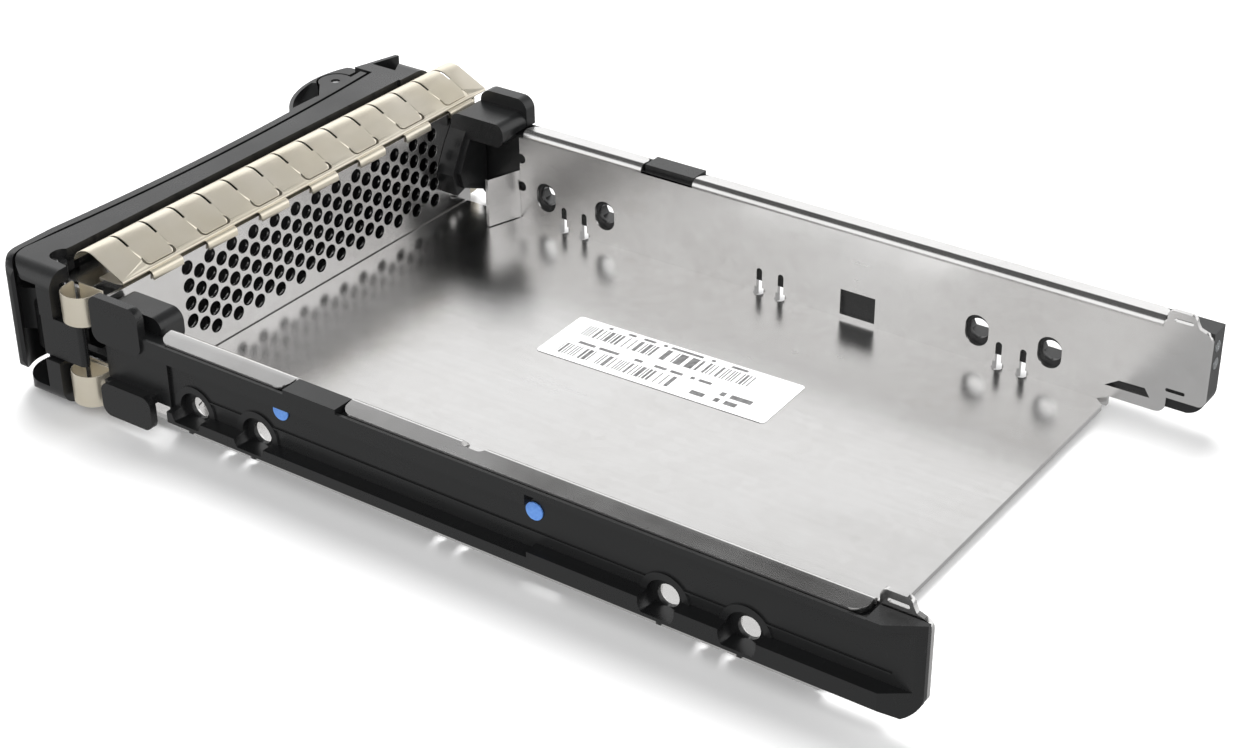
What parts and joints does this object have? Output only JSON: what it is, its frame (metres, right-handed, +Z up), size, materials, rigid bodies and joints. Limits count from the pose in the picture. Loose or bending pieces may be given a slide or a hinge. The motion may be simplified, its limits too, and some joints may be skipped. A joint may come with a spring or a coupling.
{
  "type": "hot-swap drive carrier",
  "caption": "Empty hot-swap carrier for a 3.5 inch drive: steel tray, plastic side rails, vented bezel with contact fingers, swing handle and latch.",
  "frame": {"origin": "centre of the tray floor's top face, where the drive rests", "axes": "+Y to the rear (connector end), -Y the front bezel, +X the side of the handle hinge, +Z up from the floor"},
  "size_m": [0.118, 0.2009, 0.0288],
  "materials": {
    "zinc_sheet": "satin zinc-coated sheet, softly mottled",
    "finger_metal": "satin, warm tint",
    "black_plastic": "fine matte texture",
    "clear_plastic": "clear, polished",
    "blue_plastic": "satin",
    "label_paper": "printed paper with plain bars",
    "pin_steel": "ground"
  },
  "bodies": {
    "carrier": {"tray_pan": "zinc_sheet", "perforated_plate": "zinc_sheet", "plate_rivets": "zinc_sheet", "top_finger_strip": "finger_metal", "bottom_finger_strip": "finger_metal", "right_side_fingers": "finger_metal", "left_side_fingers": "finger_metal", "front_bezel": "black_plastic", "right_rail": "black_plastic", "left_rail": "black_plastic", "rail_markers": "blue_plastic", "light_pipe_cover": "black_plastic", "upper_light_pipe": "clear_plastic", "lower_light_pipe": "clear_plastic", "label": "label_paper", "handle_pin": "pin_steel", "handle_spring": "pin_steel"},
    "handle_arm": {"handle": "black_plastic", "latch_pin": "pin_steel", "latch_spring": "pin_steel"},
    "latch_lever": {"latch": "black_plastic"}
  },
  "joints": [
    {"name": "handle_swing", "type": "hinge", "parent": "carrier", "child": "handle_arm", "pos_m": [0.052, -0.08959, 0.0128], "axis": [0, 0, 1], "range_deg": [0, 55]},
    {"name": "latch_press", "type": "hinge", "parent": "handle_arm", "child": "latch_lever", "pos_m": [-0.0418, -0.10255, 0.0144], "axis": [0, 0, 1], "range_deg": [-8, 0], "stiffness_Nm_per_rad": 0.05}
  ]
}
